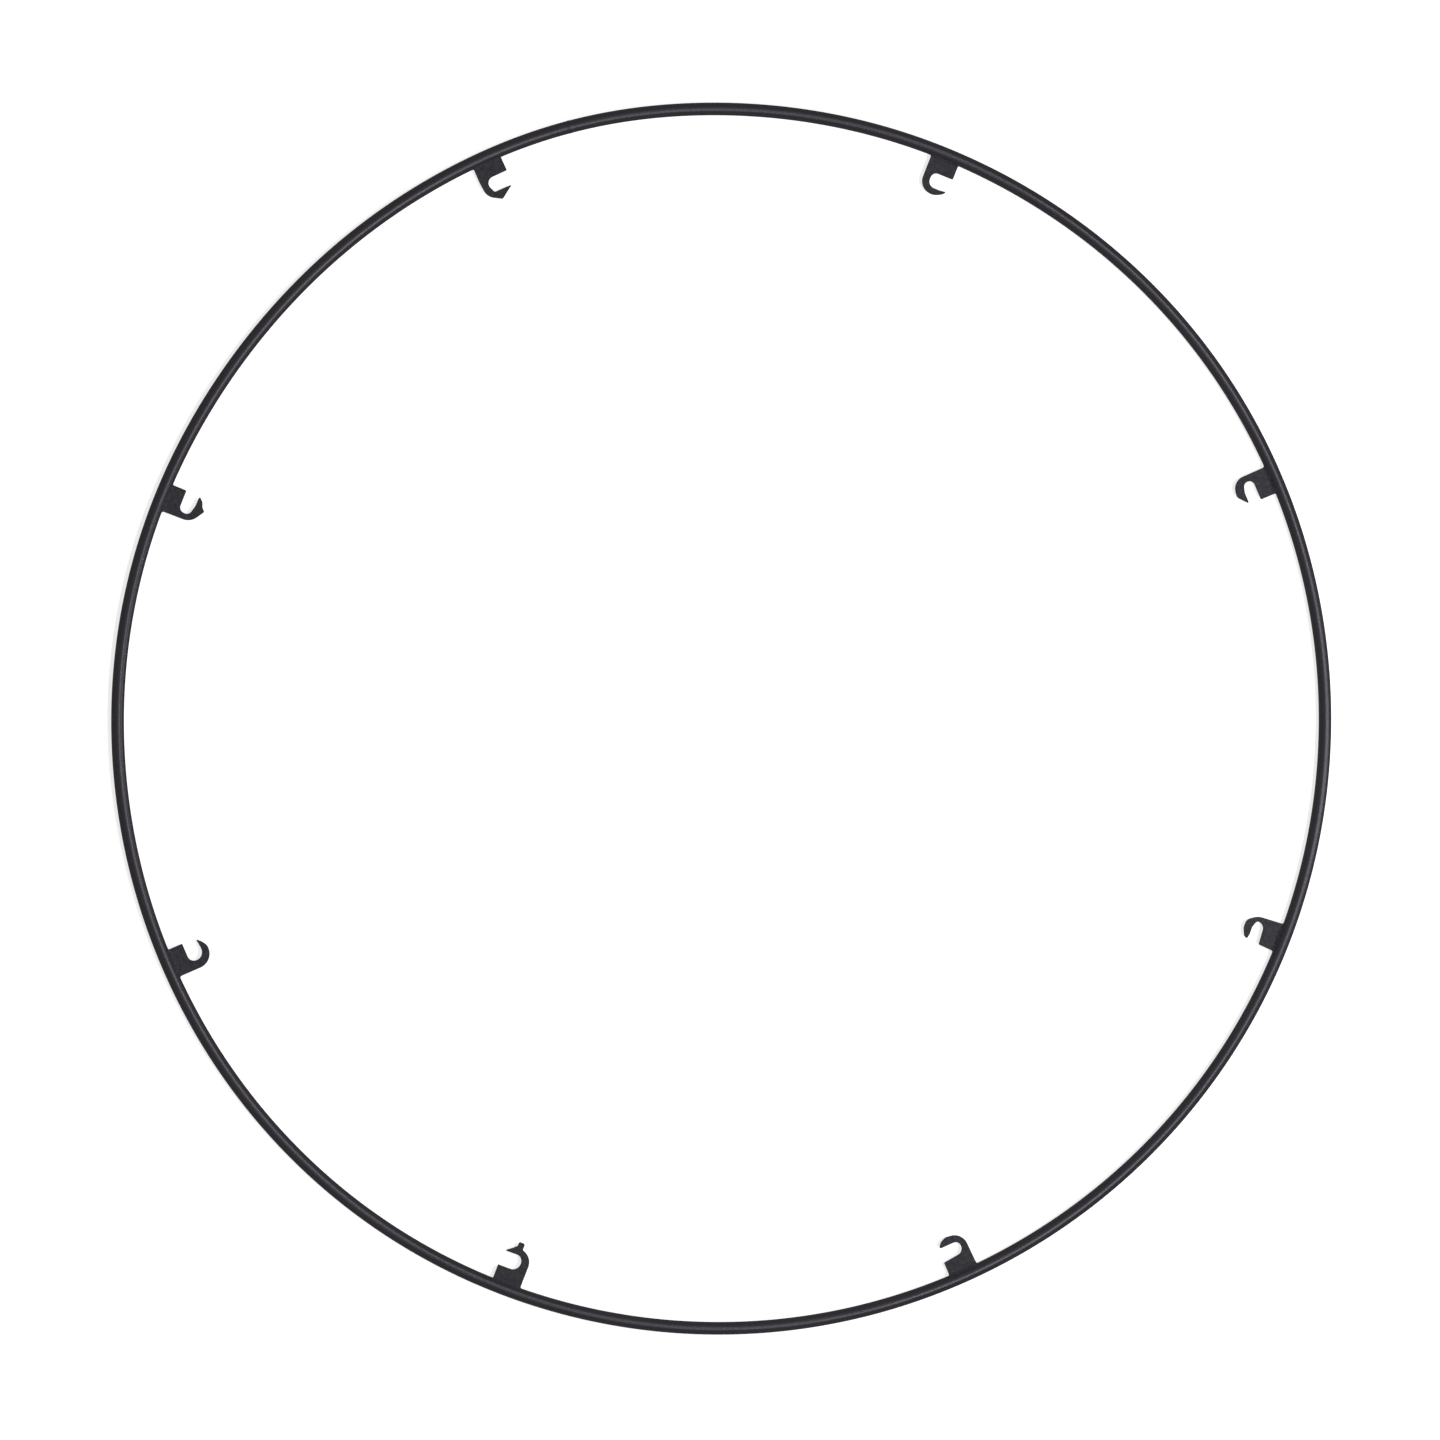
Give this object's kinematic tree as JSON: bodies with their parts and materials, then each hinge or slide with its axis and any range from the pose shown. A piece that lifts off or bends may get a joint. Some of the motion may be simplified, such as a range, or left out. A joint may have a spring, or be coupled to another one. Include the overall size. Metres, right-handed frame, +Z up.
{
  "type": "roundnet rim",
  "caption": "Black hoop of round steel bar with flat J-shaped hooks welded round its inside, all opening the same way round, to hold a roundnet game's stretched net.",
  "frame": {"origin": "the hoop's centre, on the surface that the hoop lies on", "axes": "+Z up, square to the hoop; +X towards the right of the picture and +Y towards its top, so that the hooks stand at 22.5 degrees from the axes and 45 degrees apart"},
  "size_m": [0.9144, 0.9144, 0.0095],
  "materials": {
    "rim_coat": "satin powder coat",
    "hook_coat": "satin powder coat",
    "weld_coat": "satin powder coat"
  },
  "bodies": {
    "root": {"rim_rod": "rim_coat", "rim_butt_weld": "rim_coat", "hook_1": "hook_coat", "hook_2": "hook_coat", "hook_3": "hook_coat", "hook_4": "hook_coat", "hook_5": "hook_coat", "hook_6": "hook_coat", "hook_7": "hook_coat", "hook_8": "hook_coat", "hook_1_weld_top": "weld_coat", "hook_1_weld_bottom": "weld_coat", "hook_2_weld_top": "weld_coat", "hook_2_weld_bottom": "weld_coat", "hook_3_weld_top": "weld_coat", "hook_3_weld_bottom": "weld_coat", "hook_4_weld_top": "weld_coat", "hook_4_weld_bottom": "weld_coat", "hook_5_weld_top": "weld_coat", "hook_5_weld_bottom": "weld_coat", "hook_6_weld_top": "weld_coat", "hook_6_weld_bottom": "weld_coat", "hook_7_weld_top": "weld_coat", "hook_7_weld_bottom": "weld_coat", "hook_8_weld_top": "weld_coat", "hook_8_weld_bottom": "weld_coat"}
  },
  "joints": []
}
